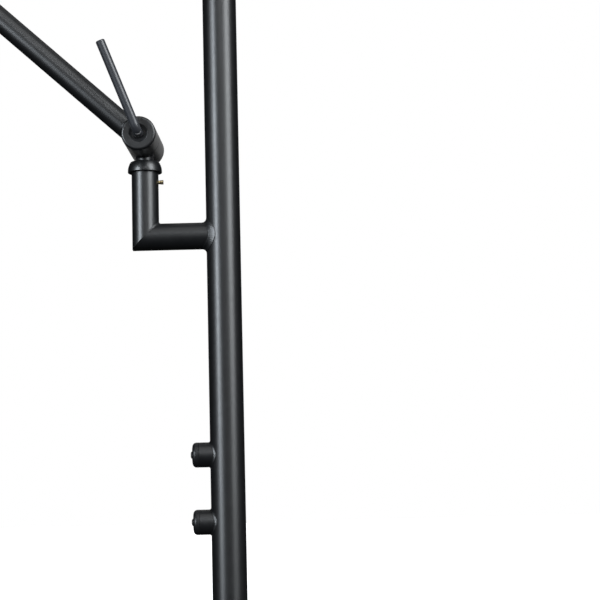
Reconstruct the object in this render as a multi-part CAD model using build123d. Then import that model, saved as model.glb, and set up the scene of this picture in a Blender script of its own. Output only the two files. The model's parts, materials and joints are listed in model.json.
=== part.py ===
from build123d import *
import os
from math import cos, radians, sin, sqrt

# Swivel bracket: a mast with a side arm, an upright socket on the arm, and a pan and tilt head that holds
# a boom. Millimetres. Origin at the centre of the mast's lower mouth, +Z up the mast, the boom towards -X
# and the clamp lever on the -Y side.

# --- Welded frame -------------------------------------------------------------------------------------
MAST_R = 24.15
MAST_WALL = 2.6
MAST_LENGTH = 1000.0
ARM_R = 19.05
ARM_WALL = 2.5
ARM_Z = 580.0                   # height of the arm's centreline
REACH = 110.0                   # mast axis to socket axis
SADDLE_FILLET = 6.0
MITRE_SEAM = 1.2                # thickness of the ground weld in the mitre
MITRE_CROWN = 0.25              # how far the ground weld stands proud
CORNER_ROUND = 3.0
EDGE_BREAK = 0.6

BOSS_R = 17.4
BOSS_Z = {"upper": 271.5, "lower": 178.5}
BOSS_LENGTH = 15.0              # steel part, from the mast's surface
CAP_LENGTH = 9.4
CAP_ROUND = 5.5
CAP_SEAM = 0.4                  # chamfer each side of the line between boss and cap
CAP_SPIGOT_R = 12.0
CAP_SPIGOT = 4.0
CAP_SCREW_R = 3.0
CAP_SCREW_LENGTH = 16.0
CAP_HEAD_R = 5.25
CAP_HEAD = 4.1
CAP_HEAD_SUNK = 1.6
HEX_ACROSS = 4.0
HEX_DEPTH = 2.5

# --- Pan pivot ----------------------------------------------------------------------------------------
RIM_Z = ARM_Z + 92.5            # lower edge of the dome
DOME_R = 24.2
DOME_HEIGHT = 15.5
DOME_CENTRE_RISE = 2.0          # sphere centre above the rim
DOME_SHOULDER = 2.5
SOCKET_TOP_Z = RIM_Z + 3.0
BUSH_FLANGE = 2.0
UPPER_BUSH = 11.0
LOWER_BUSH = 15.0
LOWER_BUSH_Z = ARM_Z + 36.0
WASHER = 2.0
RUN_CLEARANCE = 0.05            # radial clearance of a shaft in its bush
FACE_GAP = 0.3                  # gap between faces that slide past each other
PRESS_GAP = 0.02                # keeps pressed parts of one body off each other
SHAFT_R = 12.5
SPIGOT_R = 10.0
SHAFT_BOTTOM_Z = ARM_Z + 32.0
SHAFT_LEAD = 1.5
RING_R = 12.0
SCREW_Z = RIM_Z - 14.0
SCREW_R = 2.5
SCREW_TIP_R = 1.9
SCREW_HEAD_R = 3.2
SCREW_HEAD = 4.4
SCREW_STANDOFF = 2.6            # bare shank between the socket and the head
SCREW_EDGE = 0.4
SCREW_WAIST = 0.8               # width of the groove round the head
SCREW_WAIST_DEPTH = 0.5
SCREW_SLOT = 1.0
SCREW_SLOT_DEPTH = 1.2
GROOVE_R = 10.4
GROOVE_WIDTH = 6.0

# --- Tilt joint: two knuckles on one axis along Y -----------------------------------------------------
PIVOT_Z = ARM_Z + 137.5
PIVOT_OFFSET = 2.2              # tilt axis beyond the pan axis, towards the boom
KNUCKLE_R = 24.15
FRONT_Y = -62.0
SPLIT_Y = -14.0
REAR_Y = 60.0
FACE_ROUND = 3.5
DISH_R = 25.5                   # radius of the hollow sphere in the front face
DISH_MOUTH_R = 13.0
DISH_LIP = 2.0
SEAT_DEPTH = 6.6                # front face down to the clamp spring's seat
BOLT_R = 5.0
BUSH_R = 9.0
DISC_R = 20.0
DISC = 4.0
DISC_SUNK = 1.85                # depth of the disc's seat in the rear knuckle
DISC_PIN_R = 1.5
DISC_PIN_CIRCLE_R = 15.5
DISC_PIN = 8.0
INSERT_R = 11.0
INSERT = 18.0
CAVITY_R = 19.0
PLUG_FLANGE_R = 22.5
PLUG_FLANGE = 2.5
PLUG_SPIGOT = 9.0
PLUG_WALL = 2.0
PLUG_ROUND = 1.5
SPRING = 1.2                    # height of the coned spring
SPRING_SHEET = 0.7
CLAMP_WASHER = 2.5
CLAMP_WASHER_R = 8.7
CLAMP_LAND_R = 7.0              # flat that the lever's end bears on
BOLT_IN_LEVER = 12.0            # how far the bolt goes up the lever's bored leg
BOLT_LEAD = 1.0
BOLT_END_Y = 15.0
JAM_NUT_ACROSS = 17.0
JAM_NUT = 6.0
NUT_TRAVEL = 1.6                # free travel before the nut meets the insert

# --- Boom and lever -----------------------------------------------------------------------------------
BOOM_R = 15.9
BOOM_WALL = 2.0
BOOM_Y = -36.0
BOOM_DROP = 2.6                 # how far under the tilt axis the boom's axis passes
BOOM_REACH = 400.0              # tilt axis to the boom's open end
BOOM_SOLID = 30.0               # tilt axis to the flat bottom of the boom's bore
BOOM_RISE = 42.2                # degrees above level at rest
BOOM_FILLET = 3.0
NECK_FILLET = 2.0
BOSS_FILLET = 2.0
LEVER_R = 6.35
LEVER_REACH = 134.0
LEVER_LEG = 1.2                 # straight part before the bend
LEVER_BEND = 13.0               # centreline radius of the bend
LEVER_LEAN = 21.0               # degrees off upright, towards the boom
LEVER_FLARE = 12.0              # degrees out from the knuckle's face
LEVER_CHAMFER = 1.2
GRUB_R = 2.0
GRUB_HEX = 2.0
GRUB_HEX_DEPTH = 1.2
GRUB_OUT = 6.0                  # outer end, from the tilt axis
GRUB_IN = 3.0                   # inner end
GRUB_SET = 4.0                  # from the lever's end to the screw's centreline

SOCKET = Vector(-REACH, 0, 0)
PIVOT = Vector(-REACH - PIVOT_OFFSET, 0, PIVOT_Z)
BOOM_DIR = Vector(-cos(radians(BOOM_RISE)), 0, sin(radians(BOOM_RISE)))
BOOM_DOWN = Vector(-sin(radians(BOOM_RISE)), 0, -cos(radians(BOOM_RISE)))
LEVER_DIR = Vector(
    -sin(radians(LEVER_LEAN)) * cos(radians(LEVER_FLARE)),
    -sin(radians(LEVER_FLARE)),
    cos(radians(LEVER_LEAN)) * cos(radians(LEVER_FLARE)),
)
FAR = 400.0                     # larger than any sub-part that is cut to shape


def rod(radius, start, end):
    """Solid cylinder from one point to another."""
    run = end - start
    base = Plane(origin=start, z_dir=run.normalized())
    return base * Cylinder(radius, run.length, align=(Align.CENTER, Align.CENTER, Align.MIN))


def post(radius, low, high):
    """Solid cylinder on the socket's vertical axis."""
    return rod(radius, SOCKET + Vector(0, 0, low), SOCKET + Vector(0, 0, high))


def barrel(radius, front, rear):
    """Solid cylinder on the tilt axis."""
    return rod(radius, PIVOT + Vector(0, front, 0), PIVOT + Vector(0, rear, 0))


def turned(points, place):
    """Solid of revolution: (radius, height) corners turned about the Z axis of a plane."""
    outline = make_face(Polyline(*[(r, 0, h) for r, h in points], close=True).edges())
    return place * revolve(outline, Axis.Z)


def round_edges_at(solid, radius, heights, axis=Axis.Z):
    """Round the circular edges whose centres lie at the given places along an axis."""
    chosen = [
        edge
        for edge in solid.edges().filter_by(GeomType.CIRCLE)
        if any(abs(edge.arc_center.dot(axis.direction) - h) < 1e-3 for h in heights)
    ]
    return fillet(chosen, radius)


def hex_socket(across, depth, mouth, inward):
    """Hexagonal key hole: mouth is its centre on the surface, inward the way it goes."""
    outline = RegularPolygon(across / 2, 6, major_radius=False)
    return extrude(Plane(origin=mouth - inward * 0.5, z_dir=inward) * outline, depth + 0.5)


def weld(first, second, radius):
    """Concave bead that fills the corner where two solids meet."""
    joined = first + second
    seam = new_edges(first, second, combined=joined)
    return fillet(seam, radius) - first - second


def mast_core():
    return rod(MAST_R, Vector(0, 0, 0), Vector(0, 0, MAST_LENGTH))


# --- Welded frame -------------------------------------------------------------------------------------
def mast_tube():
    core = chamfer(mast_core().edges().filter_by(GeomType.CIRCLE), EDGE_BREAK)
    return core - rod(MAST_R - MAST_WALL, Vector(0, 0, -1), Vector(0, 0, MAST_LENGTH + 1))


def mitre_slab(low, high):
    """Slab parallel to the mitre, between two distances from it, positive on the socket's side."""
    corner = Vector(-REACH, 0, ARM_Z)
    out = Vector(-1, 0, 1).normalized()
    face = Plane(origin=corner + out * low, x_dir=Vector(0, 1, 0), z_dir=out)
    return face * Box(FAR, FAR, high - low, align=(Align.CENTER, Align.CENTER, Align.MIN))


def corner_guard():
    """Block with one rounded corner that breaks the sharp outer point of the mitre."""
    left = -REACH - ARM_R - MITRE_CROWN
    low = ARM_Z - ARM_R - MITRE_CROWN
    block = Pos(left, 0, low) * Box(FAR, FAR, FAR, align=(Align.MIN, Align.CENTER, Align.MIN))
    edge = block.edges().filter_by(Axis.Y).sort_by(lambda e: e.center().X + e.center().Z)[0]
    return fillet(edge, CORNER_ROUND)


def arm_rod(radius):
    return rod(radius, Vector(-REACH - 2 * ARM_R, 0, ARM_Z), Vector(0, 0, ARM_Z))


def arm_tube():
    solid = arm_rod(ARM_R) - arm_rod(ARM_R - ARM_WALL)
    solid = solid & mitre_slab(-FAR, -MITRE_SEAM / 2)
    return (solid & corner_guard()) - mast_core()


def socket_tube():
    low = ARM_Z - 2 * ARM_R
    solid = post(ARM_R, low, SOCKET_TOP_Z) - post(ARM_R - ARM_WALL, low, SOCKET_TOP_Z)
    solid = (solid & mitre_slab(MITRE_SEAM / 2, FAR)) & corner_guard()
    hole = rod(
        SCREW_R + RUN_CLEARANCE,
        SOCKET + Vector(0, 0, SCREW_Z),
        SOCKET + Vector(2 * ARM_R, 0, SCREW_Z),
    )
    return solid - hole


def mitre_weld():
    low = ARM_Z - 2 * ARM_R
    crown = ARM_R + MITRE_CROWN
    bore = ARM_R - ARM_WALL
    arm = (arm_rod(crown) - arm_rod(bore)) & mitre_slab(-MITRE_SEAM / 2, 0)
    socket = (post(crown, low, SOCKET_TOP_Z) - post(bore, low, SOCKET_TOP_Z)) & mitre_slab(0, MITRE_SEAM / 2)
    return (arm + socket) & corner_guard()


def saddle_weld():
    arm = rod(ARM_R, Vector(-REACH, 0, ARM_Z), Vector(0, 0, ARM_Z))
    return weld(mast_core(), arm, SADDLE_FILLET)


def boss_rod(height, start, end, radius=BOSS_R):
    """Cylinder across the mast on its -X side, between two distances from the mast's surface."""
    return rod(radius, Vector(-MAST_R - start, 0, height), Vector(-MAST_R - end, 0, height))


def boss(height):
    solid = boss_rod(height, -MAST_R, BOSS_LENGTH)
    solid = chamfer(solid.edges().group_by(Axis.X)[0], CAP_SEAM) - mast_core()
    solid -= boss_rod(height, BOSS_LENGTH - CAP_SPIGOT, BOSS_LENGTH + 1, CAP_SPIGOT_R + PRESS_GAP)
    end = BOSS_LENGTH + CAP_LENGTH - CAP_HEAD_SUNK - CAP_SCREW_LENGTH - 1
    return solid - boss_rod(height, end, BOSS_LENGTH + 1, CAP_SCREW_R + PRESS_GAP)


def boss_cap(height):
    out = BOSS_LENGTH + CAP_LENGTH
    solid = boss_rod(height, BOSS_LENGTH, out)
    solid = chamfer(solid.edges().group_by(Axis.X)[-1], CAP_SEAM)
    solid = round_edges_at(solid, CAP_ROUND, [-MAST_R - out], Axis.X)
    solid += boss_rod(height, BOSS_LENGTH - CAP_SPIGOT, BOSS_LENGTH, CAP_SPIGOT_R)
    solid -= boss_rod(height, 0, out + 1, CAP_SCREW_R + PRESS_GAP)
    return solid - boss_rod(height, out - CAP_HEAD_SUNK, out + 1, CAP_HEAD_R + PRESS_GAP)


def boss_cap_screw(height):
    seat = BOSS_LENGTH + CAP_LENGTH - CAP_HEAD_SUNK
    head = boss_rod(height, seat, seat + CAP_HEAD, CAP_HEAD_R)
    head = round_edges_at(head, CAP_HEAD - CAP_HEAD_SUNK, [-MAST_R - seat - CAP_HEAD], Axis.X)
    shank = boss_rod(height, seat - CAP_SCREW_LENGTH, seat, CAP_SCREW_R)
    mouth = Vector(-MAST_R - seat - CAP_HEAD, 0, height)
    return head + shank - hex_socket(HEX_ACROSS, HEX_DEPTH, mouth, Vector(1, 0, 0))


def boss_weld(height):
    return weld(mast_core(), boss_rod(height, -MAST_R, BOSS_LENGTH), BOSS_FILLET)


# --- Pan pivot ----------------------------------------------------------------------------------------
def upper_bush():
    body = post(ARM_R - ARM_WALL - PRESS_GAP, SOCKET_TOP_Z - UPPER_BUSH, SOCKET_TOP_Z)
    body += post(ARM_R, SOCKET_TOP_Z, SOCKET_TOP_Z + BUSH_FLANGE)
    return body - post(SHAFT_R + RUN_CLEARANCE, 0, PIVOT_Z)


def lower_bush():
    body = post(ARM_R - ARM_WALL - PRESS_GAP, LOWER_BUSH_Z, LOWER_BUSH_Z + LOWER_BUSH)
    return body - post(SHAFT_R + RUN_CLEARANCE, 0, PIVOT_Z)


def seat_z():
    """Height of the face inside the dome that rides on the thrust washer."""
    return SOCKET_TOP_Z + BUSH_FLANGE + FACE_GAP + WASHER


def thrust_washer():
    low = seat_z() - WASHER
    return post(ARM_R, low, seat_z()) - post(SHAFT_R + RUN_CLEARANCE, low - 1, seat_z() + 1)


def swivel_stem():
    """Shaft with the locking groove, the spigot that carries the dome, and the ring under the barrel."""
    dome_top = RIM_Z + DOME_HEIGHT
    shaft = chamfer(post(SHAFT_R, SHAFT_BOTTOM_Z, seat_z()).edges().group_by(Axis.Z)[0], SHAFT_LEAD)
    low, high = SCREW_Z - GROOVE_WIDTH / 2, SCREW_Z + GROOVE_WIDTH / 2
    shaft -= post(SHAFT_R + 1, low, high) - post(GROOVE_R, low, high)
    ring = post(RING_R, dome_top, PIVOT_Z)
    ring = chamfer(ring.edges().group_by(Axis.Z)[0], EDGE_BREAK)
    return shaft + post(SPIGOT_R, seat_z(), dome_top) + ring - barrel(KNUCKLE_R, -FAR, FAR)


def dome_collar():
    ball = Pos(SOCKET + Vector(0, 0, RIM_Z + DOME_CENTRE_RISE)) * Sphere(DOME_R)
    dome = ball & post(2 * DOME_R, RIM_Z, RIM_Z + DOME_HEIGHT)
    dome = round_edges_at(dome, EDGE_BREAK, [RIM_Z])
    dome = round_edges_at(dome, DOME_SHOULDER, [RIM_Z + DOME_HEIGHT])
    dome -= post(ARM_R + 2 * FACE_GAP, RIM_Z - 1, seat_z())
    return dome - post(SPIGOT_R + PRESS_GAP, RIM_Z, PIVOT_Z)


def pan_lock_screw():
    def along(distance):
        return SOCKET + Vector(distance, 0, SCREW_Z)

    under_head = ARM_R + SCREW_STANDOFF
    end = under_head + SCREW_HEAD
    tip = rod(SCREW_TIP_R, along(GROOVE_R + FACE_GAP), along(SHAFT_R + 1))
    shank = rod(SCREW_R, along(SHAFT_R + 1), along(under_head))
    head = rod(SCREW_HEAD_R, along(under_head), along(end))
    head = chamfer(head.edges().filter_by(GeomType.CIRCLE), SCREW_EDGE)
    low = (under_head + end - SCREW_WAIST) / 2
    high = low + SCREW_WAIST
    waist = rod(SCREW_HEAD_R - SCREW_WAIST_DEPTH, along(low), along(high))
    head -= rod(2 * SCREW_HEAD_R, along(low), along(high)) - waist
    slot = Pos(along(end)) * Box(2 * SCREW_SLOT_DEPTH, 3 * SCREW_HEAD_R, SCREW_SLOT)
    return tip + shank + head - slot


# --- Tilt head ----------------------------------------------------------------------------------------
def disc_floor_y():
    """Floor of the friction disc's seat in the rear knuckle."""
    return SPLIT_Y + FACE_GAP / 2 + DISC_SUNK


def rear_knuckle():
    front = SPLIT_Y + FACE_GAP / 2
    body = barrel(KNUCKLE_R, front, REAR_Y)
    body = chamfer(body.edges().filter_by(GeomType.CIRCLE), EDGE_BREAK)
    floor = disc_floor_y()
    body -= barrel(DISC_R + PRESS_GAP, front - 1, floor)
    body -= barrel(INSERT_R + PRESS_GAP, floor - 1, floor + INSERT)
    body -= barrel(CAVITY_R, floor + INSERT, REAR_Y + 1)
    return body - dowels(DISC_PIN_R + PRESS_GAP)


def dowels(radius):
    """Rods at equal turns round the tilt axis, through the friction disc into the rear knuckle."""
    front = disc_floor_y() - DISC + 1
    rods = []
    for turn in (90, 210, 330):
        across = Vector(cos(radians(turn)), 0, sin(radians(turn))) * DISC_PIN_CIRCLE_R
        start = PIVOT + across + Vector(0, front, 0)
        rods.append(rod(radius, start, start + Vector(0, DISC_PIN, 0)))
    return rods


def disc_pins():
    return Compound(children=dowels(DISC_PIN_R))


def friction_disc():
    rear = disc_floor_y()
    disc = barrel(DISC_R, rear - DISC, rear) - barrel(BUSH_R, rear - DISC - 1, rear + 1)
    return disc - dowels(DISC_PIN_R + PRESS_GAP)


def thread_insert():
    front = disc_floor_y()
    return barrel(INSERT_R, front, front + INSERT) - barrel(BOLT_R + RUN_CLEARANCE, front - 1, REAR_Y)


def rear_plug():
    flange = barrel(PLUG_FLANGE_R, REAR_Y, REAR_Y + PLUG_FLANGE)
    flange = round_edges_at(flange, PLUG_ROUND, [REAR_Y + PLUG_FLANGE], Axis.Y)
    spigot_r = CAVITY_R - PRESS_GAP
    spigot = barrel(spigot_r, REAR_Y - PLUG_SPIGOT, REAR_Y)
    spigot -= barrel(spigot_r - PLUG_WALL, REAR_Y - PLUG_SPIGOT - 1, REAR_Y)
    return flange + spigot


def neck_weld():
    ring = post(RING_R, RIM_Z + DOME_HEIGHT, PIVOT_Z)
    bead = weld(barrel(KNUCKLE_R, -2 * KNUCKLE_R, 2 * KNUCKLE_R), ring, NECK_FILLET)
    keep = Pos(PIVOT.X, SPLIT_Y + FACE_GAP / 2, PIVOT_Z)
    return bead & (keep * Box(FAR, FAR, FAR, align=(Align.CENTER, Align.MIN, Align.CENTER)))


# --- Boom ---------------------------------------------------------------------------------------------
def boom_rod(radius, start, end):
    root = PIVOT + Vector(0, BOOM_Y, 0) + BOOM_DOWN * BOOM_DROP
    return rod(radius, root + BOOM_DIR * start, root + BOOM_DIR * end)


def boom_tube():
    solid = boom_rod(BOOM_R, 0, BOOM_REACH)
    solid = chamfer(solid.edges().filter_by(GeomType.CIRCLE).sort_by(Axis.X)[0], EDGE_BREAK)
    solid -= boom_rod(BOOM_R - BOOM_WALL, BOOM_SOLID, BOOM_REACH + 1)
    return solid - barrel(KNUCKLE_R, FRONT_Y - 1, REAR_Y)


def boom_weld():
    bead = weld(barrel(KNUCKLE_R, 3 * FRONT_Y, 2 * REAR_Y), boom_rod(BOOM_R, 0, 3 * KNUCKLE_R), BOOM_FILLET)
    keep = Pos(PIVOT.X, SPLIT_Y - FACE_GAP, PIVOT_Z)
    return bead & (keep * Box(FAR, FAR, FAR, align=(Align.CENTER, Align.MAX, Align.CENTER)))


def dish_ball():
    """Ball that hollows the front face."""
    return Pos(PIVOT + Vector(0, FRONT_Y - sqrt(DISH_R**2 - DISH_MOUTH_R**2), 0)) * Sphere(DISH_R)


def front_knuckle():
    rear = SPLIT_Y - FACE_GAP / 2
    body = barrel(KNUCKLE_R, FRONT_Y, rear)
    body = round_edges_at(body, FACE_ROUND, [FRONT_Y], Axis.Y)
    body = round_edges_at(body, EDGE_BREAK, [rear], Axis.Y)
    body -= dish_ball()
    body = round_edges_at(body, DISH_LIP, [FRONT_Y], Axis.Y)
    disc_front = disc_floor_y() - DISC
    body -= barrel(DISC_R + 2 * FACE_GAP, disc_front - FACE_GAP, rear + 1)
    return body - barrel(BUSH_R + PRESS_GAP, FRONT_Y, rear)


def knuckle_bush():
    front = FRONT_Y + SEAT_DEPTH
    rear = disc_floor_y() - DISC - FACE_GAP
    return barrel(BUSH_R, front, rear) - barrel(BOLT_R + RUN_CLEARANCE, front - 1, rear + 1)


def disc_spring():
    """Conical washer on the bush that pushes the clamp washer off when the lever is slackened."""
    inner, outer = BOLT_R + FACE_GAP, CLAMP_WASHER_R
    section = [(inner, SPRING - SPRING_SHEET), (outer, 0), (outer, SPRING_SHEET), (inner, SPRING)]
    floor = Plane(origin=PIVOT + Vector(0, FRONT_Y + SEAT_DEPTH, 0), z_dir=(0, -1, 0))
    return turned(section, floor)


# --- Clamp --------------------------------------------------------------------------------------------
def land_y():
    """Flat of the clamp washer."""
    return FRONT_Y + SEAT_DEPTH - SPRING - FACE_GAP - CLAMP_WASHER


def clamp_washer():
    """Thick washer whose front carries on the dish, with a flat for the bolt's shoulder."""
    ring = barrel(CLAMP_WASHER_R, FRONT_Y, land_y() + CLAMP_WASHER) - dish_ball()
    ring -= barrel(CLAMP_LAND_R, FRONT_Y - 1, land_y())
    return ring - barrel(BOLT_R + RUN_CLEARANCE, FRONT_Y, REAR_Y)


def lever_end_y():
    """End face of the lever's leg, which bears on the clamp washer."""
    return land_y() - FACE_GAP / 3


def lever_bar():
    """Round bar that comes straight out of the barrel and bends up into the handle."""
    end = PIVOT + Vector(0, lever_end_y(), 0)
    bend = end - Vector(0, LEVER_LEG, 0)
    upright = Vector(-sin(radians(LEVER_LEAN)), 0, cos(radians(LEVER_LEAN)))
    turn = radians(90 - LEVER_FLARE)
    top = bend - Vector(0, LEVER_BEND * sin(turn), 0) + upright * LEVER_BEND * (1 - cos(turn))
    middle = bend - Vector(0, LEVER_BEND * sin(turn / 2), 0) + upright * LEVER_BEND * (1 - cos(turn / 2))
    run = LEVER_REACH - (top - PIVOT).dot(upright) / cos(radians(LEVER_FLARE))
    path = Line(end, bend) + ThreePointArc(bend, middle, top) + Line(top, top + LEVER_DIR * run)
    bar = sweep(Plane(origin=end, z_dir=(0, -1, 0)) * Circle(LEVER_R), path=path)
    bar = chamfer(bar.edges().filter_by(GeomType.CIRCLE).sort_by(Axis.Z)[-1], LEVER_CHAMFER)
    return bar - barrel(BOLT_R + PRESS_GAP, end.Y - BOLT_IN_LEVER, end.Y + 1) - grub_rod(GRUB_R + PRESS_GAP, 0)


def grub_rod(radius, spare):
    """Rod on the grub screw's line, square to the bolt on its lower side."""
    down = Vector(sin(radians(LEVER_LEAN)), 0, -cos(radians(LEVER_LEAN)))
    start = PIVOT + Vector(0, lever_end_y() - GRUB_SET, 0)
    return rod(radius, start + down * (GRUB_IN - spare), start + down * (GRUB_OUT if spare else LEVER_R * 2))


def clamp_bolt():
    """Headless bolt, fixed in the bored end of the lever."""
    shank = barrel(BOLT_R, lever_end_y() - BOLT_IN_LEVER + 1, BOLT_END_Y)
    shank = chamfer(shank.edges().filter_by(GeomType.CIRCLE), BOLT_LEAD)
    return shank - grub_rod(GRUB_R + PRESS_GAP, PRESS_GAP)


def lever_grub_screw():
    down = Vector(sin(radians(LEVER_LEAN)), 0, -cos(radians(LEVER_LEAN)))
    mouth = PIVOT + Vector(0, lever_end_y() - GRUB_SET, 0) + down * GRUB_OUT
    screw = rod(GRUB_R, mouth - down * (GRUB_OUT - GRUB_IN), mouth)
    return screw - hex_socket(GRUB_HEX, GRUB_HEX_DEPTH, mouth, -down)


def jam_nut():
    front = disc_floor_y() + INSERT + NUT_TRAVEL
    outline = RegularPolygon(JAM_NUT_ACROSS / 2, 6, major_radius=False)
    nut = extrude(Plane(origin=PIVOT + Vector(0, front, 0), z_dir=(0, 1, 0)) * outline, JAM_NUT)
    return nut - barrel(BOLT_R + PRESS_GAP, front - 1, front + JAM_NUT + 1)


NODES = {
    "mast_tube": mast_tube(),
    "arm_tube": arm_tube(),
    "socket_tube": socket_tube(),
    "mitre_weld": mitre_weld(),
    "saddle_weld": saddle_weld(),
    "upper_bush": upper_bush(),
    "lower_bush": lower_bush(),
    "thrust_washer": thrust_washer(),
    "swivel_stem": swivel_stem(),
    "dome_collar": dome_collar(),
    "pan_lock_screw": pan_lock_screw(),
    "rear_knuckle": rear_knuckle(),
    "neck_weld": neck_weld(),
    "thread_insert": thread_insert(),
    "friction_disc": friction_disc(),
    "disc_pins": disc_pins(),
    "rear_plug": rear_plug(),
    "front_knuckle": front_knuckle(),
    "knuckle_bush": knuckle_bush(),
    "disc_spring": disc_spring(),
    "boom_tube": boom_tube(),
    "boom_weld": boom_weld(),
    "clamp_washer": clamp_washer(),
    "clamp_bolt": clamp_bolt(),
    "lever_bar": lever_bar(),
    "lever_grub_screw": lever_grub_screw(),
    "jam_nut": jam_nut(),
}
for place, height in BOSS_Z.items():
    NODES[f"{place}_boss"] = boss(height)
    NODES[f"{place}_boss_weld"] = boss_weld(height)
    NODES[f"{place}_boss_cap"] = boss_cap(height)
    NODES[f"{place}_boss_screw"] = boss_cap_screw(height)

os.makedirs("parts", exist_ok=True)
for name, solid in NODES.items():
    export_step(solid, f"parts/{name}.step")
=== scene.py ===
import json
import math

import bpy
from mathutils import Matrix, Vector


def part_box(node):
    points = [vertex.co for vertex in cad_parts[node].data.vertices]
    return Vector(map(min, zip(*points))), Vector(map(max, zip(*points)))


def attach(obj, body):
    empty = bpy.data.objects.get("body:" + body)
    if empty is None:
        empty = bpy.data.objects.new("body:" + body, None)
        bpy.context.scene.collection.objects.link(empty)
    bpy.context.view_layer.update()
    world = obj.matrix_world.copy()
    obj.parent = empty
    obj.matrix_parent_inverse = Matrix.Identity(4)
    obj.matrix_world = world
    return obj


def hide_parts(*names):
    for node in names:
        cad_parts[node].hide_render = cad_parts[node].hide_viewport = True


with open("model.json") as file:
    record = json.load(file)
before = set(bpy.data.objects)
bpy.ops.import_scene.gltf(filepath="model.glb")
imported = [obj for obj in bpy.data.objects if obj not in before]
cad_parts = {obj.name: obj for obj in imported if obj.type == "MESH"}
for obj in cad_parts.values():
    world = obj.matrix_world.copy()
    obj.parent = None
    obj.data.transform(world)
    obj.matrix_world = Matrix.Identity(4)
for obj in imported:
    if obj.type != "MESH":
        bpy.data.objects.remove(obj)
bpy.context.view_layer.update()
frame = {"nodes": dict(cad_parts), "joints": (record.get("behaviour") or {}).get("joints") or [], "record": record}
NODES = frame["nodes"]
BODY_OF = {node: body for body, members in frame["record"]["behaviour"]["bodies"].items() for node in members}
SLOT_OF = {row["node"]: row["material_slot"] for row in frame["record"]["subparts"]}
JOINTS = {joint["name"]: joint for joint in frame["joints"]}

MM = 0.001


# --- Places taken from the frame ----------------------------------------------------------------------
def middle(node):
    low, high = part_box(node)
    return (low + high) / 2


def size(node):
    low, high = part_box(node)
    return high - low


MAST_R = size("mast_tube").x / 2
ARM_R = size("arm_tube").z / 2
ARM_Z = middle("arm_tube").z
SOCKET = middle("socket_tube")
PIVOT = Vector(JOINTS["boom_tilt"]["pos_m"])
KNUCKLE_R = size("front_knuckle").x / 2
BOOM = next(mount for mount in frame["record"]["mounts"] if mount["name"] == "boom_end")
BOOM_DIR = Vector(BOOM["axis"])
BOOM_R = size("boom_tube").y / 2
DOME_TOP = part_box("dome_collar")[1].z
RING_R = max(
    (Vector(v.co) - Vector((SOCKET.x, 0, v.co.z))).length
    for v in NODES["swivel_stem"].data.vertices
    if v.co.z > DOME_TOP + 2 * MM
)
BOSS_R = size("upper_boss").y / 2


# --- Node helpers -------------------------------------------------------------------------------------
class Shader:
    """Short-hand for building one material's node tree."""

    def __init__(self, name):
        self.material = bpy.data.materials.new(name)
        self.material.use_nodes = True
        self.tree = self.material.node_tree
        self.bsdf = self.tree.nodes["Principled BSDF"]
        self.place = self.add("ShaderNodeTexCoord").outputs["Object"]

    def add(self, kind, **settings):
        node = self.tree.nodes.new(kind)
        for key, value in settings.items():
            setattr(node, key, value)
        return node

    def link(self, output, target):
        self.tree.links.new(output, target)

    def noise(self, scale, detail=3.0, roughness=0.55, distortion=0.0, stretch=None):
        node = self.add("ShaderNodeTexNoise")
        node.inputs["Scale"].default_value = scale
        node.inputs["Detail"].default_value = detail
        node.inputs["Roughness"].default_value = roughness
        node.inputs["Distortion"].default_value = distortion
        place = self.place
        if stretch:
            mapping = self.add("ShaderNodeMapping")
            mapping.inputs["Scale"].default_value = stretch
            self.link(place, mapping.inputs["Vector"])
            place = mapping.outputs["Vector"]
        self.link(place, node.inputs["Vector"])
        return node.outputs["Fac"]

    def ramp(self, value, stops):
        node = self.add("ShaderNodeValToRGB")
        elements = node.color_ramp.elements
        elements[0].position, elements[0].color = stops[0][0], grey(stops[0][1])
        elements[1].position, elements[1].color = stops[-1][0], grey(stops[-1][1])
        for position, colour in stops[1:-1]:
            elements.new(position).color = grey(colour)
        self.link(value, node.inputs["Fac"])
        return node.outputs["Color"]

    def spread(self, value, low, high):
        """Map a 0..1 value to low..high."""
        node = self.add("ShaderNodeMapRange")
        node.inputs["To Min"].default_value = low
        node.inputs["To Max"].default_value = high
        self.link(value, node.inputs["Value"])
        return node.outputs["Result"]

    def mix(self, factor, first, second):
        node = self.add("ShaderNodeMix", data_type="RGBA")
        sockets = {s.name: s for s in node.inputs if s.type == "RGBA"}
        self.link(factor, next(s for s in node.inputs if s.name == "Factor" and s.type == "VALUE"))
        for socket, colour in ((sockets["A"], first), (sockets["B"], second)):
            if isinstance(colour, tuple):
                socket.default_value = (*colour, 1.0)
            else:
                self.link(colour, socket)
        return next(s for s in node.outputs if s.type == "RGBA")

    def bump(self, value, height, normal=None):
        node = self.add("ShaderNodeBump")
        node.inputs["Strength"].default_value = 1.0
        node.inputs["Distance"].default_value = height
        self.link(value, node.inputs["Height"])
        if normal:
            self.link(normal, node.inputs["Normal"])
        return node.outputs["Normal"]


def grey(colour):
    return (*colour, 1.0) if isinstance(colour, tuple) else (colour, colour, colour, 1.0)


# --- Materials ----------------------------------------------------------------------------------------
COARSE_PEEL = 0.000003  # heights of the powder coat's orange peel, in metres
FINE_PEEL = 0.000002
MACHINED_GRAIN = 0.00002  # height of the grain on turned metal and moulded plastic


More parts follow.
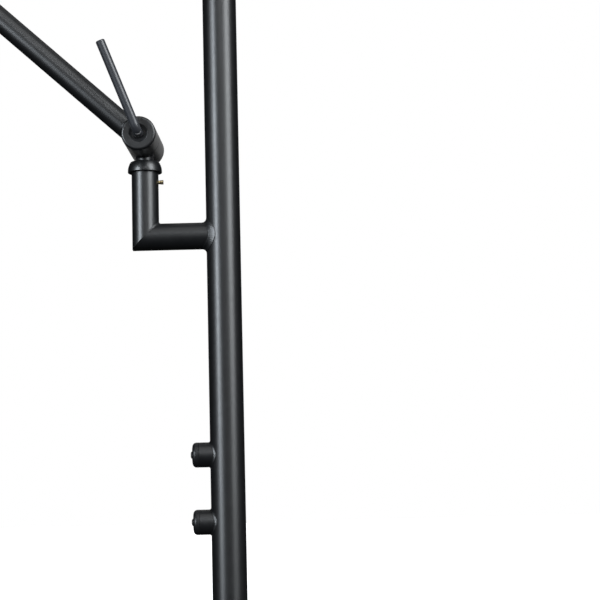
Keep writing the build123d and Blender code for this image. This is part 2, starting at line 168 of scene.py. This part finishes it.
def powder_coat(name, base, rough, peel=1.0):
    """Satin powder coat: orange peel, a faint mottle, and fine dust and scuffs."""
    s = Shader(name)
    mottle = s.noise(38.0, detail=4.0)
    dust = s.ramp(s.noise(950.0, detail=2.0), [(0.7, 0.0), (0.82, 1.0)])
    tone = s.mix(mottle, tuple(c * 0.8 for c in base), tuple(c * 1.25 for c in base))
    pale = tuple(min(1.0, c * 2.0 + 0.003) for c in base)
    s.link(s.mix(dust, tone, pale), s.bsdf.inputs["Base Color"])
    s.link(s.spread(s.noise(140.0, detail=1.0), rough - 0.03, rough + 0.05), s.bsdf.inputs["Roughness"])
    s.bsdf.inputs["Specular IOR Level"].default_value = 0.8
    coarse = s.bump(s.noise(480.0, detail=1.0), COARSE_PEEL * peel)
    s.link(s.bump(s.noise(1500.0, detail=1.0), FINE_PEEL * peel, coarse), s.bsdf.inputs["Normal"])
    return s.material


def turned_metal(name, base, rough, metallic=1.0, grooves=(1.0, 1.0, 12.0)):
    """Machined metal: fine stretched grain, stains and a little wear."""
    s = Shader(name)
    grain = s.noise(900.0, detail=3.0, stretch=grooves)
    stain = s.noise(120.0, detail=5.0)
    s.link(s.mix(stain, tuple(c * 0.75 for c in base), tuple(min(1.0, c * 1.2) for c in base)),
           s.bsdf.inputs["Base Color"])
    s.bsdf.inputs["Metallic"].default_value = metallic
    s.link(s.spread(grain, rough - 0.07, rough + 0.1), s.bsdf.inputs["Roughness"])
    s.link(s.bump(grain, MACHINED_GRAIN), s.bsdf.inputs["Normal"])
    return s.material


def moulded_plastic(name, base, rough):
    """Satin moulded plastic with a fine spark-eroded grain."""
    s = Shader(name)
    grain = s.noise(2600.0, detail=2.0)
    flow = s.noise(60.0, detail=3.0, distortion=0.6)
    s.link(s.mix(flow, tuple(c * 0.85 for c in base), tuple(c * 1.15 for c in base)),
           s.bsdf.inputs["Base Color"])
    s.link(s.spread(flow, rough - 0.04, rough + 0.06), s.bsdf.inputs["Roughness"])
    s.link(s.bump(grain, MACHINED_GRAIN), s.bsdf.inputs["Normal"])
    return s.material


MATERIALS = {
    "powder_black": powder_coat("powder_coat_black", (0.0055, 0.0058, 0.0065), 0.37),
    # The lever has the same black coat as the rest. Its base colour is painted lighter to stand in for the
    # brighter light falling on the thin lever (painted highlight), with a faint lavender tint of its own.
    "lever_black": powder_coat("lever_coat_painted_lighter", (0.034, 0.036, 0.042), 0.38, peel=0.6),
    "dome_black": powder_coat("dome_coat_black", (0.0055, 0.0058, 0.0065), 0.34, peel=0.7),
    "stem_black": turned_metal("blackened_steel", (0.012, 0.012, 0.013), 0.36, metallic=0.0),
    "black_screw": turned_metal("black_oxide_screw", (0.014, 0.014, 0.015), 0.34, metallic=0.0),
    "yellow_zinc": turned_metal("yellow_zinc", (0.66, 0.53, 0.3), 0.3),
    "plain_steel": turned_metal("plain_steel", (0.5, 0.5, 0.51), 0.32),
    "bronze": turned_metal("sintered_bronze", (0.6, 0.4, 0.2), 0.45),
    "nylon": moulded_plastic("nylon", (0.75, 0.73, 0.67), 0.5),
    "friction_lining": moulded_plastic("friction_lining", (0.14, 0.1, 0.08), 0.8),
    "cap_plastic": moulded_plastic("cap_plastic", (0.01, 0.0105, 0.0115), 0.38),
}


def paint(piece, slot):
    piece.data.materials.clear()
    piece.data.materials.append(MATERIALS[slot])


for node, piece in NODES.items():
    paint(piece, SLOT_OF[node])


# --- Mesh helpers -------------------------------------------------------------------------------------
def mesh_piece(name, points, faces, node, stands_in=True):
    """New piece on a CAD node's body and in its material slot, in the node's place or beside it."""
    data = bpy.data.meshes.new(name)
    data.from_pydata([tuple(p) for p in points], [], faces)
    data.validate()
    piece = bpy.data.objects.new(name, data)
    bpy.context.scene.collection.objects.link(piece)
    data.shade_smooth()
    paint(piece, SLOT_OF[node])
    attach(piece, BODY_OF[node])
    if stands_in:
        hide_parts(node)
    return piece


def closed_ring(rows):
    """Points and faces of a tube closed on itself, from rows of the same number of points."""
    count, across = len(rows), len(rows[0])
    points = [p for row in rows for p in row]
    faces = []
    for i in range(count):
        j = (i + 1) % count
        for k in range(across):
            m = (k + 1) % across
            faces.append((i * across + k, i * across + m, j * across + m, j * across + k))
    return points, faces


def capped_tube(rows):
    """Points and faces of a tube with both ends closed."""
    points, faces = closed_ring(rows)
    count, across = len(rows), len(rows[0])
    faces = faces[: (count - 1) * across]
    faces.append(tuple(reversed(range(across))))
    faces.append(tuple(range((count - 1) * across, count * across)))
    return points, faces


# --- Weld beads ---------------------------------------------------------------------------------------
SEAM_STRETCH = 1.1  # length of a coped seam over that of the branch's plain circle
STEPS_PER_RIPPLE = 8
BEAD_POINTS = 9
BEAD_CROWN = 0.12  # share of the leg that the bead's middle is pulled outward
BEAD_ROOT = 0.35  # share of the leg that the bead's hidden root lies inside the tubes
RIPPLE_BOW = 2.4  # how far each ripple bows forward at its middle, in radians of its wave
def weld_bead(node, centre, foot, branch_dir, trunk_dir, branch_r, trunk_r, leg, ripple, pitch, limit=None):
    """Rippled concave bead where a round branch meets a round trunk that it is square to.

    centre is a point on the trunk's axis and foot a point on the branch's, which may pass beside it.
    """
    side = trunk_dir.cross(branch_dir).normalized()
    beside = (foot - centre).dot(side)
    turns = round(2 * math.pi * branch_r * SEAM_STRETCH / pitch)
    steps = turns * STEPS_PER_RIPPLE
    across = BEAD_POINTS
    rows = []
    for i in range(steps):
        angle = 2 * math.pi * i / steps
        along, over = branch_r * math.cos(angle), branch_r * math.sin(angle) + beside
        out = math.sqrt(trunk_r**2 - over**2)
        branch_normal = trunk_dir * math.cos(angle) + side * math.sin(angle)
        trunk_normal = (branch_dir * out + side * over).normalized()
        corner = centre + trunk_dir * along + side * over + branch_dir * out
        seam = branch_normal.cross(trunk_normal).normalized()
        down_trunk = seam.cross(trunk_normal)
        down_trunk = down_trunk if down_trunk.dot(branch_normal) > 0 else -down_trunk
        start = corner + branch_dir * leg
        end = corner + down_trunk * leg
        off_axis = end - centre
        off_axis -= trunk_dir * off_axis.dot(trunk_dir)
        end += off_axis.normalized() * (trunk_r - off_axis.length)
        outward = (branch_normal + trunk_normal).normalized()
        row = []
        for k in range(across):
            t = k / (across - 1)
            curve = start * (1 - t) ** 2 + (corner + outward * leg * BEAD_CROWN) * 2 * t * (1 - t) + end * t**2
            wave = math.cos(turns * angle + RIPPLE_BOW * math.sin(math.pi * t))
            lift = ripple * math.sin(math.pi * t) * (0.5 + 0.5 * wave)
            row.append(curve + outward * lift)
        row.append(corner - outward * leg * BEAD_ROOT)
        if limit:
            row = [limit(p) for p in row]
        rows.append(row)
    points, faces = closed_ring(rows)
    return mesh_piece(node + "_bead", points, faces, node)


def in_front_of_split(point):
    rear_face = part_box("rear_knuckle")[0].y + 0.1 * MM
    return Vector((point.x, max(point.y, rear_face), point.z))


UP, LEFT, BACK = Vector((0, 0, 1)), Vector((-1, 0, 0)), Vector((0, 1, 0))
arm_foot = Vector((0, 0, ARM_Z))
weld_bead("saddle_weld", arm_foot, arm_foot, LEFT, UP, ARM_R, MAST_R, 6.0 * MM, 0.12 * MM, 2.6 * MM)
for place in ("upper", "lower"):
    foot = Vector((0, 0, middle(place + "_boss").z))
    weld_bead(place + "_boss_weld", foot, foot, LEFT, UP, BOSS_R, MAST_R, 2.0 * MM, 0.1 * MM, 2.0 * MM)
boom_foot = Vector(BOOM["pos_m"])
boom_centre = Vector((PIVOT.x, boom_foot.y, PIVOT.z))
weld_bead("boom_weld", boom_centre, boom_foot, BOOM_DIR, BACK, BOOM_R, KNUCKLE_R, 3.0 * MM, 0.12 * MM,
          2.2 * MM)
weld_bead("neck_weld", Vector((PIVOT.x, 0, PIVOT.z)), SOCKET, -UP, BACK, RING_R, KNUCKLE_R, 1.6 * MM,
          0.1 * MM, 2.0 * MM, in_front_of_split)


CROTCH_STEPS = 96
CROTCH_END = 78  # degrees either side of the corner's middle, where the bead ends
CROTCH_POINTS = 7
CROTCH_CROWN = 0.2


def crotch_bead(leg, ripple, pitch):
    """Bead in the inner corner of the mitre, tapering out where the corner opens up at the sides."""
    rows = []
    for i in range(CROTCH_STEPS + 1):
        angle = math.radians(-CROTCH_END + 2 * CROTCH_END * i / CROTCH_STEPS)
        c, s = math.cos(angle), math.sin(angle)
        corner = Vector((SOCKET.x + ARM_R * c, ARM_R * s, ARM_Z + ARM_R * c))
        outward = Vector((c, 2 * s, c)).normalized()
        reach = leg * c**0.6
        start, end = corner + Vector((reach, 0, 0)), corner + Vector((0, 0, reach))
        row = []
        for k in range(CROTCH_POINTS):
            t = k / (CROTCH_POINTS - 1)
            curve = start * (1 - t) ** 2 + (corner + outward * reach * CROTCH_CROWN) * 2 * t * (1 - t) + end * t**2
            wave = math.cos(2 * math.pi * ARM_R * angle / pitch + RIPPLE_BOW * math.sin(math.pi * t))
            row.append(curve + outward * ripple * c * math.sin(math.pi * t) * (0.5 + 0.5 * wave))
        row.append(corner - outward * reach * BEAD_ROOT)
        rows.append(row)
    points, faces = capped_tube(rows)
    mesh_piece("mitre_crotch_bead", points, faces, "mitre_weld", stands_in=False)


SHANK_R = 2.5 * MM
THREAD_STEPS = 32  # per turn
THREAD_RUNOUT = 10  # steps over which the thread fades in and out
THREAD_SINK = 0.15 * MM  # how deep the thread's root lies inside the shank
THREAD_RISE = 0.02 * MM  # height left at the faded ends


def screw_thread(pitch, depth):
    """Thread on the bare shank between the socket and the screw's head."""
    shank = Vector((0, middle("pan_lock_screw").y, middle("pan_lock_screw").z))
    start, end = SOCKET.x + ARM_R + 0.3 * MM, SOCKET.x + ARM_R + 2.5 * MM
    steps = round((end - start) / pitch * THREAD_STEPS)
    rows = []
    for i in range(steps + 1):
        turn = 2 * math.pi * i / THREAD_STEPS
        across = Vector((0, math.cos(turn), math.sin(turn)))
        height = depth * min(1.0, i / THREAD_RUNOUT, (steps - i) / THREAD_RUNOUT) + THREAD_RISE
        place = Vector((start + pitch * i / THREAD_STEPS, 0, 0)) + shank
        root, crest = SHANK_R - THREAD_SINK, SHANK_R + height
        step = Vector((pitch * 0.42, 0, 0))
        rows.append([place + across * root - step, place + across * root + step,
                     place + across * crest + step * 0.25, place + across * crest - step * 0.25])
    points, faces = capped_tube(rows)
    mesh_piece("pan_screw_thread", points, faces, "pan_lock_screw", stands_in=False)


crotch_bead(2.6 * MM, 0.1 * MM, 2.2 * MM)
screw_thread(0.8 * MM, 0.3 * MM)


# --- Smooth shading on the turned and round parts ------------------------------------------------------
for node, piece in NODES.items():
    if not piece.hide_render:
        smooth = piece.modifiers.new("weighted_normals", "WEIGHTED_NORMAL")
        smooth.keep_sharp = True


# --- Stage, light and camera --------------------------------------------------------------------------
def stage_floor():
    """Wide floor under the mast, lit as white as the backdrop and kept out of the object's own light."""
    half, drop = 6.0, 0.001
    corners = [(-half, -half, -drop), (half, -half, -drop), (half, half, -drop), (-half, half, -drop)]
    data = bpy.data.meshes.new("studio_floor")
    data.from_pydata(corners, [], [(0, 1, 2, 3)])
    floor = bpy.data.objects.new("studio_floor", data)
    bpy.context.scene.collection.objects.link(floor)
    s = Shader("studio_floor")
    s.link(s.mix(s.noise(3.0), (0.78, 0.78, 0.78), (0.84, 0.84, 0.84)), s.bsdf.inputs["Base Color"])
    s.bsdf.inputs["Roughness"].default_value = 0.9
    s.bsdf.inputs["Emission Color"].default_value = (1.0, 1.0, 1.0, 1.0)
    s.bsdf.inputs["Emission Strength"].default_value = 1.0
    data.materials.append(s.material)
    floor.visible_glossy = False
    floor.visible_diffuse = False


def studio_world():
    """White behind the object, a dim grey room in its reflections."""
    world = bpy.data.worlds.new("studio")
    bpy.context.scene.world = world
    world.use_nodes = True
    nodes, links = world.node_tree.nodes, world.node_tree.links
    output = nodes["World Output"]
    room = nodes["Background"]
    room.inputs["Color"].default_value = (0.9, 0.95, 1.0, 1.0)
    room.inputs["Strength"].default_value = ROOM_LIGHT
    white = nodes.new("ShaderNodeBackground")
    white.inputs["Color"].default_value = (1.0, 1.0, 1.0, 1.0)
    rays = nodes.new("ShaderNodeLightPath")
    choose = nodes.new("ShaderNodeMixShader")
    links.new(rays.outputs["Is Camera Ray"], choose.inputs["Fac"])
    links.new(room.outputs["Background"], choose.inputs[1])
    links.new(white.outputs["Background"], choose.inputs[2])
    links.new(choose.outputs["Shader"], output.inputs["Surface"])


def softbox(name, azimuth, elevation, wide, tall, radiance, tint=(1.0, 1.0, 1.0)):
    """Large soft light far off, its size in degrees. Azimuth 0 is the camera's side, positive to the right."""
    a, e = math.radians(azimuth), math.radians(elevation)
    toward = Vector((math.sin(a) * math.cos(e), -math.cos(a) * math.cos(e), math.sin(e)))
    lamp = bpy.data.lights.new(name, "AREA")
    lamp.shape = "RECTANGLE"
    lamp.size = 2 * LIGHT_DISTANCE * math.tan(math.radians(wide / 2))
    lamp.size_y = 2 * LIGHT_DISTANCE * math.tan(math.radians(tall / 2))
    lamp.energy = radiance * math.pi * lamp.size * lamp.size_y
    lamp.color = tint
    light = bpy.data.objects.new(name, lamp)
    light.location = AIM + toward * LIGHT_DISTANCE
    light.rotation_euler = (-toward).to_track_quat("-Z", "Y").to_euler()
    light.visible_camera = False
    bpy.context.scene.collection.objects.link(light)


ROOM_LIGHT = 0.012
LIGHT_DISTANCE = 9.0
AIM = Vector((SOCKET.x / 2, 0, ARM_Z))

stage_floor()
studio_world()
softbox("left_strip", -44.5, 10, 18, 23, 18, (0.86, 0.93, 1.0))
softbox("right_strip", 50, 24, 30, 44, 8, (0.93, 0.97, 1.0))
softbox("front_panel", 3, 14, 26, 26, 0.5)
softbox("front_key", 7, 30, 14, 12, 5.5, (0.92, 0.96, 1.0))
softbox("canopy", 0, 60, 44, 34, 0.75)
softbox("rear_left", -150, 62, 24, 24, 0.4)
softbox("rear_right", 150, 62, 24, 24, 0.4)
softbox("backdrop", 180, 16, 32, 32, 0.8)

CAMERA_PLACE = (0.1277, -2.2, 0.2409)
CAMERA_YAW, CAMERA_PITCH, CAMERA_ROLL = -0.56, 6.34, -1.37
CAMERA_LENS = 94.3


def studio_camera():
    """Low camera looking slightly up, a little right of the mast."""
    yaw, pitch, roll = (math.radians(d) for d in (CAMERA_YAW, CAMERA_PITCH, CAMERA_ROLL))
    ahead = Vector((math.sin(yaw) * math.cos(pitch), math.cos(yaw) * math.cos(pitch), math.sin(pitch)))
    level = Vector((math.cos(yaw), -math.sin(yaw), 0))
    upward = level.cross(ahead)
    right = level * math.cos(roll) + upward * math.sin(roll)
    top = upward * math.cos(roll) - level * math.sin(roll)
    turn = Matrix((right, top, -ahead)).transposed().to_4x4()
    data = bpy.data.cameras.new("camera")
    data.lens = CAMERA_LENS
    data.sensor_width = 36.0
    data.clip_end = 50.0
    camera = bpy.data.objects.new("camera", data)
    camera.matrix_world = Matrix.Translation(CAMERA_PLACE) @ turn
    bpy.context.scene.collection.objects.link(camera)
    bpy.context.scene.camera = camera


studio_camera()
bpy.context.scene.view_settings.view_transform = "Standard"
